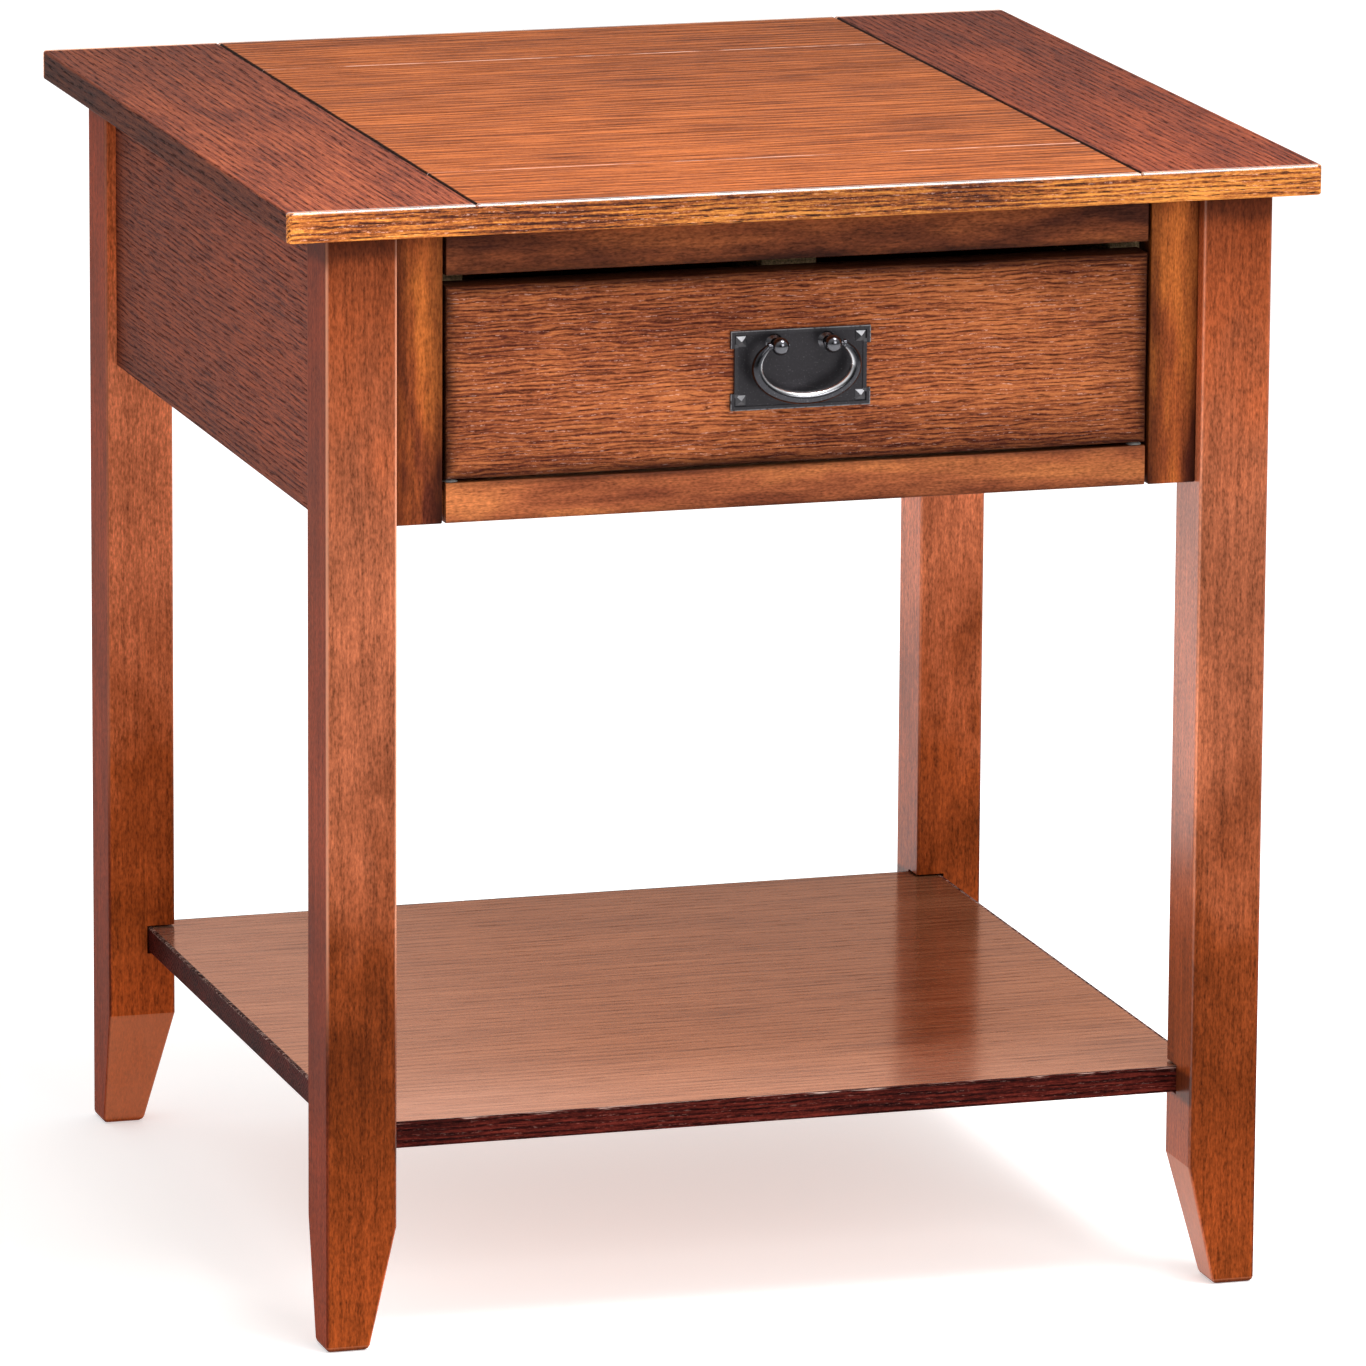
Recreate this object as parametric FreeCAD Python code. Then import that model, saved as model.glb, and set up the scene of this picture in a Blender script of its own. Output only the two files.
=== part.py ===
import FreeCAD, Part
import math
import os

# Side table with one drawer and a lower shelf.
# Millimetres.  X runs to the right, Y to the rear (the drawer opens towards -Y), Z up.
# The origin is on the floor, under the middle of the table.

Vector = FreeCAD.Vector

# ---- driving dimensions -------------------------------------------------------------

# table top
table_width = 560.0
table_depth = 530.0
table_height = 608.0
top_thickness = 16.0
top_side_overhang = 23.0
top_front_overhang = 12.0
band_width = 100.0
lipping_thickness = 4.0
outer_board_depth = 93.0
top_corner_radius = 3.0
top_arris_radius = 1.2
groove_width = 2.4
groove_depth = 1.8
seam_width = 0.8
seam_depth = 0.5

# legs
leg_size = 38.0
foot_size = 23.0
taper_height = 66.0
leg_arris_radius = 1.5
foot_round = 3.0
foot_round_steps = 3

# frame under the top
frame_height = 154.0
panel_thickness = 16.0
panel_setback = 6.0
face_thickness = 20.0
face_setback = 8.0
stile_width = 26.3
top_rail_height = 24.0
bottom_rail_height = 21.0
rail_joint_gap = 2.0
tenon_length = 12.0
tenon_thickness = 8.0
tenon_shoulder = 4.0
small_arris_radius = 0.8

# shelf
shelf_height = 116.0
shelf_thickness = 14.0
shelf_housing = 15.0
shelf_band_thickness = 2.0
housing_clearance = 1.0
shelf_pin_radius = 3.0
shelf_pin_flange_radius = 5.5
shelf_pin_reach = 9.0

# drawer
drawer_gap_side = 2.0
drawer_gap_below = 2.0
drawer_gap_above = 6.0
drawer_front_thickness = 18.0
drawer_space_behind = 26.0
drawer_box_height = 84.0
drawer_side_inset = 2.7
drawer_wall = 12.0
drawer_housing = 5.0
drawer_bottom_thickness = 4.0
drawer_bottom_rise = 6.0
drawer_kept_inside = 130.0
drawer_arris_radius = 1.2

# wooden runners, guides and kickers
sliding_gap = 0.3
guide_gap = 0.8
runner_width = 40.0
runner_thickness = 18.0
guide_height = 17.0
kicker_width = 24.0
kicker_gap = 3.0
centre_kicker_width = 30.0
centre_kicker_gap = 8.0
stop_length = 15.0
stop_overlap = 3.0
stop_button_gap = 1.0
stop_width = 20.0
glide_radius = 4.0
glide_setback = 7.0

# corner blocks and screws
block_leg_cover = 9.0
block_height = 60.0
block_rise = 44.0
screw_radius = 2.0
screw_head_radius = 4.0
screw_head_height = 2.5
screw_length = 32.0
screw_head_clearance = 0.5
top_screw_bite = 12.0
top_screw_grip = 18.0
top_screw_seam_distance = 18.0

# drawer pull
plate_width = 76.0
plate_height = 42.0
plate_thickness = 2.0
plate_drop = 1.0
plate_notch_height = 24.0
plate_notch_depth = 2.0
plate_border = 2.0
plate_border_depth = 0.6
stud_size = 6.2
stud_height = 2.0
stud_inset = 2.3
post_spacing = 28.5
post_rise = 14.0
post_reach = 10.0
post_base_radius = 4.8
post_base_height = 1.5
post_neck_radius = 3.0
ball_radius = 4.7
bail_pin_radius = 1.35
bail_pin_clearance = 0.05
bail_half_width = 26.85
bail_drop = 27.7
bail_waist_drop = 10.9
bail_middle_radius = 3.3
bail_end_radius = 1.7
bail_collar_radius = 2.3
bail_collar_thickness = 1.2
bail_sections = 17

# ---- places that follow from them ---------------------------------------------------

SIDES = {"left": -1, "right": 1}
ENDS = {"front": -1, "rear": 1}

half_width = table_width / 2
half_depth = table_depth / 2
top_underside = table_height - top_thickness
groove_x = half_width - band_width
seam_y = half_depth - lipping_thickness - outer_board_depth

leg_outer_x = half_width - top_side_overhang
leg_outer_y = half_depth - top_front_overhang
leg_inner_x = leg_outer_x - leg_size
leg_inner_y = leg_outer_y - leg_size

frame_bottom = top_underside - frame_height
panel_outer_x = leg_outer_x - panel_setback
panel_inner_x = panel_outer_x - panel_thickness
panel_outer_y = leg_outer_y - panel_setback
panel_inner_y = panel_outer_y - panel_thickness
face_front_y = -(leg_outer_y - face_setback)
face_rear_y = face_front_y + face_thickness

opening_half = leg_inner_x - stile_width
rail_half = opening_half - rail_joint_gap
opening_bottom = frame_bottom + bottom_rail_height
opening_top = top_underside - top_rail_height

shelf_underside = shelf_height - shelf_thickness
shelf_half_x = leg_inner_x + shelf_housing
shelf_half_y = leg_inner_y + shelf_housing
shelf_pin_x = leg_inner_x + shelf_housing / 2
shelf_pin_y = leg_inner_y + shelf_housing / 2

front_half = opening_half - drawer_gap_side
drawer_bottom_edge = opening_bottom + drawer_gap_below
drawer_front_top = opening_top - drawer_gap_above
drawer_box_top = drawer_bottom_edge + drawer_box_height
drawer_front_rear_y = face_front_y + drawer_front_thickness
drawer_rear_y = panel_inner_y - drawer_space_behind
drawer_travel = drawer_rear_y - face_front_y - drawer_kept_inside
drawer_back_y = drawer_rear_y - drawer_wall
box_half = front_half - drawer_side_inset
box_inner_half = box_half - drawer_wall
panel_rise = drawer_bottom_edge + drawer_bottom_rise
drawer_floor = panel_rise + drawer_bottom_thickness

runner_top = drawer_bottom_edge - sliding_gap
guide_half = box_half + guide_gap
runner_outer = guide_half + (runner_width - drawer_wall) / 2
kicker_bottom = drawer_box_top + kicker_gap
centre_kicker_bottom = drawer_box_top + centre_kicker_gap

stop_button_top = centre_kicker_bottom - stop_button_gap
stop_button_front_y = drawer_back_y - stop_length / 2
open_stop_rear_y = stop_button_front_y - drawer_travel - sliding_gap
open_stop_bottom = stop_button_top - stop_overlap

plate_z = (drawer_bottom_edge + drawer_front_top) / 2 - plate_drop
plate_front_y = face_front_y - plate_thickness
post_x = post_spacing / 2
pivot_y = plate_front_y - post_reach
pivot_z = plate_z + post_rise


# ---- small helpers ------------------------------------------------------------------

def box(x0, x1, y0, y1, z0, z1):
    """Box between two x, two y and two z values, each pair in either order."""
    low = Vector(min(x0, x1), min(y0, y1), min(z0, z1))
    return Part.makeBox(abs(x1 - x0), abs(y1 - y0), abs(z1 - z0), low)


def eased_box(x0, x1, y0, y1, z0, z1):
    """Box with every arris slightly rounded."""
    block = box(x0, x1, y0, y1, z0, z1)
    return block.makeFillet(small_arris_radius, block.Edges)


def prism(points, push):
    """Solid made by pushing a flat polygon along a vector."""
    outline = Part.makePolygon(points + points[:1])
    return Part.Face(outline).extrude(push)


def rod(start, direction, length, radius):
    """Round bar from a start point along a direction."""
    return Part.makeCylinder(radius, length, start, direction)


def rounded(shape, radius, wanted):
    """The shape with the edges for which wanted(edge) is true filleted."""
    return shape.makeFillet(radius, [edge for edge in shape.Edges if wanted(edge)])


def cut_all(shape, tools):
    """The shape with every tool taken out of it."""
    for tool in tools:
        shape = shape.cut(tool)
    return shape


def runs_along(edge, axis):
    """True when a straight edge lies along the axis number 0, 1 or 2."""
    start, end = edge.Vertexes[0].Point, edge.Vertexes[-1].Point
    step = [abs(end[i] - start[i]) for i in range(3)]
    return step[axis] > 0.99 * sum(step) > 0


def group(solids):
    """Several separate solids kept in one part."""
    return Part.makeCompound(solids)


def screw(head_centre, direction, length):
    """Pan-head screw: the head stands on head_centre, the shank runs along direction."""
    backwards = Vector(direction).multiply(-1)
    shank = rod(head_centre, direction, length, screw_radius)
    head = rod(head_centre, backwards, screw_head_height, screw_head_radius)
    return shank.fuse(head)


def screw_hole(head_centre, direction, length):
    """The hole that a screw's shank fills."""
    return rod(head_centre, direction, length, screw_radius)


# ---- table top ----------------------------------------------------------------------

def top_slab():
    """The whole top in one piece, with rounded corners and eased arrises."""
    slab = box(-half_width, half_width, -half_depth, half_depth, top_underside, table_height)
    slab = rounded(slab, top_corner_radius, lambda edge: runs_along(edge, 2))
    flat = [edge for edge in slab.Edges if edge.BoundBox.ZLength < top_arris_radius]
    return slab.makeFillet(top_arris_radius, flat)


def v_cutter(start, end, width, depth):
    """Triangular cutter with its point down, running between two points on the top face."""
    along = end.sub(start)
    across = Vector(-along.y, along.x, 0).normalize()
    rise = 1.0
    half = width / 2 * (1 + rise / depth)
    lift = Vector(0, 0, rise)
    corners = [
        start.add(lift).add(Vector(across).multiply(half)),
        start.add(lift).sub(Vector(across).multiply(half)),
        start.sub(Vector(0, 0, depth)),
    ]
    return prism(corners, along)


def top_cutters():
    """The deep grooves beside the bands and the fine seams between the boards."""
    cutters = []
    for sign in (-1, 1):
        start = Vector(sign * groove_x, -half_depth - 1, table_height)
        end = Vector(sign * groove_x, half_depth + 1, table_height)
        cutters.append(v_cutter(start, end, groove_width, groove_depth))
        start = Vector(-groove_x, sign * seam_y, table_height)
        end = Vector(groove_x, sign * seam_y, table_height)
        cutters.append(v_cutter(start, end, seam_width, seam_depth))
    return cutters


def top_screw_places():
    """Where the top is screwed down: three along each kicker."""
    side_x = guide_half - sliding_gap
    places = []
    for x in (-side_x, 0, side_x):
        for row in (-1, 0, 1):
            places.append(Vector(x, row * (seam_y - top_screw_seam_distance), top_underside - top_screw_grip))
    return places


def top_screw_length():
    return top_screw_grip + top_screw_bite


def top_pieces():
    """The boards, bands and lippings that make the top."""
    field_y = half_depth - lipping_thickness
    holes = [screw_hole(p, Vector(0, 0, 1), top_screw_length()) for p in top_screw_places()]
    slab = cut_all(top_slab(), top_cutters() + holes)

    def slice_of(x0, x1, y0, y1):
        return slab.common(box(x0, x1, y0, y1, top_underside, table_height))

    return {
        "top_left_band": slice_of(-half_width, -groove_x, -field_y, field_y),
        "top_right_band": slice_of(groove_x, half_width, -field_y, field_y),
        "top_front_board": slice_of(-groove_x, groove_x, -field_y, -seam_y),
        "top_middle_board": slice_of(-groove_x, groove_x, -seam_y, seam_y),
        "top_rear_board": slice_of(-groove_x, groove_x, seam_y, field_y),
        "top_front_lipping": slice_of(-half_width, half_width, -half_depth, -field_y),
        "top_rear_lipping": slice_of(-half_width, half_width, field_y, half_depth),
    }


# ---- legs ---------------------------------------------------------------------------

def rounded_rectangle(x0, x1, y0, y1, z, radius):
    """Closed outline with round corners, in the plane at height z."""
    left, right = min(x0, x1), max(x0, x1)
    front, rear = min(y0, y1), max(y0, y1)
    centres = [
        Vector(right - radius, rear - radius, z),
        Vector(left + radius, rear - radius, z),
        Vector(left + radius, front + radius, z),
        Vector(right - radius, front + radius, z),
    ]

    def on_corner(number, quarter_turns):
        angle = math.radians(90 * (number + quarter_turns))
        return centres[number].add(Vector(radius * math.cos(angle), radius * math.sin(angle), 0))

    edges = []
    for number in range(4):
        arc = Part.Arc(on_corner(number, 0), on_corner(number, 0.5), on_corner(number, 1))
        edges.append(arc.toShape())
        edges.append(Part.makeLine(on_corner(number, 1), on_corner((number + 1) % 4, 0)))
    return Part.Wire(edges)


def leg_outline(side, end, z, inset):
    """Outline of a leg at height z; only its two inner faces taper in towards the foot."""
    share = min(z / taper_height, 1)
    size = foot_size + (leg_size - foot_size) * share
    return rounded_rectangle(
        side * (leg_outer_x - inset),
        side * (leg_outer_x - size + inset),
        end * (leg_outer_y - inset),
        end * (leg_outer_y - size + inset),
        z,
        leg_arris_radius,
    )


def shelf_housing_cutter(side, end):
    """Notch in the inner corner of a leg, a little taller and deeper than the shelf."""
    return box(
        side * (leg_inner_x - 1),
        side * (shelf_half_x + housing_clearance),
        end * (leg_inner_y - 1),
        end * (shelf_half_y + housing_clearance),
        shelf_underside - housing_clearance,
        shelf_height + housing_clearance,
    )


def shelf_pin(side, end):
    """Flanged pin: it stands in the leg, and the shelf's corner sits on the flange."""
    floor = shelf_underside - housing_clearance
    low = Vector(side * shelf_pin_x, end * shelf_pin_y, floor - shelf_pin_reach)
    flange = Vector(side * shelf_pin_x, end * shelf_pin_y, floor)
    up = Vector(0, 0, 1)
    pin = rod(low, up, 2 * shelf_pin_reach + housing_clearance, shelf_pin_radius)
    return pin.fuse(rod(flange, up, housing_clearance, shelf_pin_flange_radius))


def leg(side, end):
    """Square leg with eased arrises, tapered foot, shelf notch and screw holes."""
    outlines = []
    for step in range(foot_round_steps + 1):
        angle = math.radians(90) * step / foot_round_steps
        z = foot_round * (1 - math.cos(angle))
        outlines.append(leg_outline(side, end, z, foot_round * (1 - math.sin(angle))))
    outlines.append(leg_outline(side, end, taper_height, 0))
    outlines.append(leg_outline(side, end, top_underside, 0))
    post = Part.makeLoft(outlines, True, True)
    holes = [screw_hole(*place) for place in corner_screw_places(side, end)]
    return cut_all(post, [shelf_housing_cutter(side, end), shelf_pin(side, end)] + holes)


# ---- frame under the top ------------------------------------------------------------

def side_panel(side):
    """Panel between a front and a rear leg."""
    return eased_box(side * panel_inner_x, side * panel_outer_x, -leg_inner_y, leg_inner_y,
                     frame_bottom, top_underside)


def back_panel():
    """Panel between the rear legs."""
    return eased_box(-leg_inner_x, leg_inner_x, panel_inner_y, panel_outer_y,
                     frame_bottom, top_underside)


def rail(bottom, top):
    """Front rail with a tenon at each end; its shoulders stop just short of the stiles."""
    middle_y = (face_front_y + face_rear_y) / 2
    body = box(-rail_half, rail_half, face_front_y, face_rear_y, bottom, top)
    reach = opening_half + tenon_length
    tenons = box(-reach, reach, middle_y - tenon_thickness / 2, middle_y + tenon_thickness / 2,
                 bottom + tenon_shoulder, top - tenon_shoulder)
    front_arrises = rounded(
        body, top_arris_radius,
        lambda edge: runs_along(edge, 0) and edge.BoundBox.YMax < middle_y
        and edge.BoundBox.ZMax < top_underside - 1,
    )
    return front_arrises.fuse(tenons).removeSplitter()


def top_rail():
    return rail(opening_top, top_underside)


def bottom_rail():
    return rail(frame_bottom, opening_bottom)


def stile(side):
    """Upright beside a front leg, mortised for both rails."""
    post = eased_box(side * opening_half, side * leg_inner_x, face_front_y, face_rear_y,
                     frame_bottom, top_underside)
    return cut_all(post, [top_rail(), bottom_rail()])


def corner_screw_places(side, end):
    """Two screws through a corner block into the inner corner of its leg."""
    inwards = math.sqrt(0.5)
    direction = Vector(side * inwards, end * inwards, 0)
    cover = block_leg_cover / 2
    places = []
    for share in (0.25, 0.75):
        z = frame_bottom + block_rise + share * block_height
        start = Vector(side * (leg_inner_x - cover), end * (leg_inner_y - cover), z)
        places.append((start, direction, screw_length))
    return places


def corner_block(side, end):
    """Glued block that laps round the inner corner of a leg, with a face at 45 degrees."""
    wall_y = panel_inner_y if end > 0 else -face_rear_y
    diagonal = leg_inner_x + leg_inner_y - block_leg_cover
    outline = [
        (leg_inner_x, wall_y),
        (leg_inner_x, leg_inner_y),
        (panel_inner_x, leg_inner_y),
        (panel_inner_x, diagonal - panel_inner_x),
        (diagonal - wall_y, wall_y),
    ]
    z = frame_bottom + block_rise
    corners = [Vector(side * x, end * y, z) for x, y in outline]
    block = prism(corners, Vector(0, 0, block_height))
    block = block.makeFillet(small_arris_radius, block.Edges)
    return cut_all(block, [screw_hole(*place) for place in corner_screw_places(side, end)])


def runner(side):
    """Ledge that carries one side of the drawer, from the front frame to the back panel."""
    return eased_box(side * runner_outer, side * (runner_outer - runner_width), face_rear_y,
                     panel_inner_y, runner_top - runner_thickness, runner_top)


def guide(side):
    """Strip on a runner that keeps the drawer from moving sideways."""
    return eased_box(side * guide_half, side * runner_outer, face_rear_y, panel_inner_y,
                     runner_top, runner_top + guide_height)


def kicker_with_holes(x0, x1, bottom):
    """Bar under the top, bored from below for the screws that hold the top."""
    bar = eased_box(x0, x1, face_rear_y, panel_inner_y, bottom, top_underside)
    tools = []
    for place in top_screw_places():
        tools.append(screw_hole(place, Vector(0, 0, 1), top_screw_length()))
        well = Vector(place.x, place.y, bottom - 1)
        tools.append(rod(well, Vector(0, 0, 1), place.z - well.z,
                         screw_head_radius + screw_head_clearance))
    return cut_all(bar, tools)


def kicker(side):
    """Side kicker: it keeps the open drawer from tipping down."""
    middle = guide_half - sliding_gap
    return kicker_with_holes(side * (middle - kicker_width / 2),
                             side * (middle + kicker_width / 2), kicker_bottom)


def centre_kicker():
    return kicker_with_holes(-centre_kicker_width / 2, centre_kicker_width / 2,
                             centre_kicker_bottom)


def open_stop_block():
    """Block under the centre kicker that stops the drawer when it is open."""
    return eased_box(-stop_width / 2, stop_width / 2, open_stop_rear_y - stop_length,
                     open_stop_rear_y, open_stop_bottom, centre_kicker_bottom)


def closed_stop(side):
    """Block behind the drawer that sets its face level with the frame."""
    return eased_box(side * box_half, side * box_inner_half, drawer_rear_y + sliding_gap,
                     panel_inner_y, runner_top, runner_top + guide_height)


def drawer_glide(side):
    """Domed nylon tack at one end of the bottom rail, under the drawer."""
    height = drawer_gap_below - sliding_gap
    x = side * (rail_half - glide_radius)
    sphere_radius = (glide_radius ** 2 + height ** 2) / (2 * height)
    centre = Vector(x, face_front_y + glide_setback, opening_bottom + height - sphere_radius)
    dome = Part.makeSphere(sphere_radius, centre)
    keep = box(x - glide_radius, x + glide_radius, centre.y - glide_radius,
               centre.y + glide_radius, opening_bottom, opening_bottom + height + 1)
    return dome.common(keep)


# ---- shelf --------------------------------------------------------------------------

def shelf_pieces():
    """Shelf board with a thin band on each edge."""
    board_x = shelf_half_x - shelf_band_thickness
    board_y = shelf_half_y - shelf_band_thickness
    pins = [shelf_pin(side, end) for side in SIDES.values() for end in ENDS.values()]
    whole = cut_all(eased_box(-shelf_half_x, shelf_half_x, -shelf_half_y, shelf_half_y,
                              shelf_underside, shelf_height), pins)

    def slab(x0, x1, y0, y1):
        return whole.common(box(x0, x1, y0, y1, shelf_underside, shelf_height))

    pieces = {"shelf_board": slab(-board_x, board_x, -board_y, board_y)}
    for name, end in ENDS.items():
        pieces["shelf_" + name + "_band"] = slab(-shelf_half_x, shelf_half_x,
                                                 end * board_y, end * shelf_half_y)
    for name, side in SIDES.items():
        pieces["shelf_" + name + "_band"] = slab(side * board_x, side * shelf_half_x,
                                                 -board_y, board_y)
    return pieces


# ---- drawer -------------------------------------------------------------------------

def drawer_side(side):
    """Drawer side, let into the back of the drawer front and grooved for the bottom."""
    wall = box(side * box_inner_half, side * box_half, drawer_front_rear_y - drawer_housing,
               drawer_rear_y, drawer_bottom_edge, drawer_box_top)
    wall = rounded(wall, drawer_arris_radius,
                   lambda edge: runs_along(edge, 1) and edge.BoundBox.ZMin > drawer_floor)
    return cut_all(wall, [drawer_bottom(), drawer_back()])


def drawer_back():
    """Drawer back, standing on the bottom and let into both sides."""
    reach = box_inner_half + drawer_housing
    wall = box(-reach, reach, drawer_back_y, drawer_rear_y, drawer_floor, drawer_box_top)
    return rounded(wall, drawer_arris_radius,
                   lambda edge: runs_along(edge, 0) and edge.BoundBox.ZMin > drawer_floor + 1)


def drawer_bottom():
    """Thin panel in grooves in the front and both sides, running out under the back."""
    reach = box_inner_half + drawer_housing
    return box(-reach, reach, drawer_front_rear_y - drawer_housing, drawer_rear_y,
               panel_rise, drawer_floor)


def drawer_front():
    """Drawer front, level with the frame, with its front arrises eased."""
    front = box(-front_half, front_half, face_front_y, drawer_front_rear_y,
                drawer_bottom_edge, drawer_front_top)
    middle_y = (face_front_y + drawer_front_rear_y) / 2
    front = rounded(front, drawer_arris_radius, lambda edge: edge.BoundBox.YMax < middle_y)
    joints = [drawer_side(side) for side in SIDES.values()] + [drawer_bottom()]
    return cut_all(front, joints + [handle_screw(side) for side in SIDES.values()])


def stop_button():
    """Block on the drawer back that meets the open stop."""
    return eased_box(-stop_width / 2, stop_width / 2, stop_button_front_y, drawer_back_y,
                     drawer_box_top - stop_width, stop_button_top)


# ---- drawer pull --------------------------------------------------------------------

def handle_screw(side):
    """Screw from inside the drawer front into a post of the pull."""
    inner_face = Vector(side * post_x, drawer_front_rear_y, pivot_z)
    reach = drawer_front_thickness + plate_thickness + post_reach / 2
    return screw(inner_face, Vector(0, -1, 0), reach)


def plate_outline(inset):
    """Outline of the backplate with a shallow notch in each short side."""
    half_x = plate_width / 2 - inset
    half_z = plate_height / 2 - inset
    notch_x = half_x - plate_notch_depth
    notch_z = plate_notch_height / 2 + inset
    quarter = [(notch_x, notch_z), (half_x, notch_z), (half_x, half_z)]
    right = quarter + [(-x, z) for x, z in reversed(quarter)]
    return right + [(-x, -z) for x, z in right]


def plate_layer(inset, y, thickness):
    """Flat layer of the backplate's outline, from y towards the front."""
    corners = [Vector(x, y, plate_z + z) for x, z in plate_outline(inset)]
    return prism(corners, Vector(0, -thickness, 0))


def backplate():
    """Backplate with a sunk field and a small pyramid in each corner."""
    plate = plate_layer(0, face_front_y, plate_thickness)
    field_y = plate_front_y + plate_border_depth
    plate = plate.cut(plate_layer(plate_border, field_y, plate_thickness))
    reach_x = plate_width / 2 - stud_inset - stud_size / 2
    reach_z = plate_height / 2 - stud_inset - stud_size / 2
    for side in (-1, 1):
        for height in (-1, 1):
            plate = plate.fuse(pyramid(side * reach_x, field_y, plate_z + height * reach_z))
    return cut_all(plate, [handle_screw(side) for side in SIDES.values()])


def pyramid(x, y, z):
    """Square pyramid standing on the plate's field, with its point to the front."""
    half = stud_size / 2
    tip = Vector(x, y - stud_height, z)
    base = [Vector(x + a * half, y, z + b * half) for a, b in ((1, 1), (-1, 1), (-1, -1), (1, -1))]
    faces = [Part.Face(Part.makePolygon(base + base[:1]))]
    for number in range(4):
        corners = [base[number], base[(number + 1) % 4], tip]
        faces.append(Part.Face(Part.makePolygon(corners + corners[:1])))
    return Part.makeSolid(Part.makeShell(faces))


def handle_post(side):
    """Round post with a ball at its tip, bored across for the bail."""
    forward = Vector(0, -1, 0)
    field = Vector(side * post_x, plate_front_y + plate_border_depth, pivot_z)
    centre = Vector(side * post_x, pivot_y, pivot_z)
    base_height = post_base_height + plate_border_depth
    base = Part.makeCone(post_base_radius, post_neck_radius, base_height, field, forward)
    neck = rod(field, forward, post_reach + plate_border_depth, post_neck_radius)
    post = base.fuse(neck).fuse(Part.makeSphere(ball_radius, centre))
    bore_start = Vector(side * post_x - ball_radius - 1, pivot_y, pivot_z)
    bore = rod(bore_start, Vector(1, 0, 0), 2 * ball_radius + 2,
               bail_pin_radius + bail_pin_clearance)
    return cut_all(post, [bore, handle_screw(side)])


def bail_bar():
    """Curved bar on part of an ellipse, thickest in the middle."""
    waist_z = pivot_z - bail_waist_drop
    half_height = bail_drop - bail_waist_drop
    first = math.asin(bail_waist_drop / half_height)
    sections = []
    for number in range(bail_sections):
        share = 2 * number / (bail_sections - 1) - 1
        angle = -math.pi / 2 + share * (math.pi / 2 + first)
        centre = Vector(bail_half_width * math.cos(angle), pivot_y,
                        waist_z + half_height * math.sin(angle))
        heading = Vector(-bail_half_width * math.sin(angle), 0, half_height * math.cos(angle))
        radius = bail_end_radius + (bail_middle_radius - bail_end_radius) * (1 - share ** 4)
        sections.append(Part.Wire(Part.makeCircle(radius, centre, heading)))
    return Part.makeLoft(sections, True)


def bail():
    """Bail: the bar, with a collar and a pin at each end that turns in a post."""
    half_height = bail_drop - bail_waist_drop
    end_x = bail_half_width * math.sqrt(1 - (bail_waist_drop / half_height) ** 2)
    solid = bail_bar()
    for side in (-1, 1):
        outer = Vector(side * (end_x + bail_collar_thickness / 2), pivot_y, pivot_z)
        inwards = Vector(-side, 0, 0)
        solid = solid.fuse(rod(outer, inwards, bail_collar_thickness, bail_collar_radius))
        pin_length = outer.x * side - post_x + ball_radius
        solid = solid.fuse(rod(outer, inwards, pin_length, bail_pin_radius))
    return solid


# ---- everything together ------------------------------------------------------------

def all_parts():
    """Every part of the table by its name."""
    parts = {}
    parts.update(top_pieces())
    parts.update(shelf_pieces())
    for end_name, end in ENDS.items():
        for side_name, side in SIDES.items():
            corner = end_name + "_" + side_name
            parts[corner + "_leg"] = leg(side, end)
            parts[corner + "_corner_block"] = corner_block(side, end)
    for name, side in SIDES.items():
        parts[name + "_side_panel"] = side_panel(side)
        parts["front_" + name + "_stile"] = stile(side)
        parts[name + "_runner"] = runner(side)
        parts[name + "_guide"] = guide(side)
        parts[name + "_kicker"] = kicker(side)
        parts["drawer_" + name + "_side"] = drawer_side(side)
        parts["handle_" + name + "_post"] = handle_post(side)
    parts["back_panel"] = back_panel()
    parts["front_top_rail"] = top_rail()
    parts["front_bottom_rail"] = bottom_rail()
    parts["centre_kicker"] = centre_kicker()
    parts["open_stop_block"] = open_stop_block()
    parts["closed_stops"] = group([closed_stop(side) for side in SIDES.values()])
    parts["drawer_glides"] = group([drawer_glide(side) for side in SIDES.values()])
    parts["shelf_pins"] = group([shelf_pin(side, end) for side in SIDES.values()
                                 for end in ENDS.values()])
    parts["corner_screws"] = group([screw(*place) for side in SIDES.values()
                                    for end in ENDS.values()
                                    for place in corner_screw_places(side, end)])
    parts["top_screws"] = group([screw(place, Vector(0, 0, 1), top_screw_length())
                                 for place in top_screw_places()])
    parts["drawer_front"] = drawer_front()
    parts["drawer_back"] = drawer_back()
    parts["drawer_bottom"] = drawer_bottom()
    parts["drawer_stop_button"] = stop_button()
    parts["handle_backplate"] = backplate()
    parts["handle_bail"] = bail()
    parts["handle_screws"] = group([handle_screw(side) for side in SIDES.values()])
    return parts


def main():
    os.makedirs("parts", exist_ok=True)
    for name, shape in all_parts().items():
        shape.exportStep("parts/" + name + ".step")
        print(name, "solids", len(shape.Solids), "volume", round(shape.Volume))


main()
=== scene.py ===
# %% [markdown]
# # A side table with a drawer
#
# The table comes from the workshop as a set of parts that already fit and move. What is left is
# what a finisher does: stain, glaze and lacquer the wood, blacken the iron, and light the result.
# The shapes could be modelled again here, but the parts are exact already, so each keeps its own
# mesh and only gets a better surface. The places on the table that matter for a finish are read
# from the parts' own boxes, so that the finish stays on them.

# %% Load the parts
import bpy
import math
from mathutils import Matrix, Vector


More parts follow.
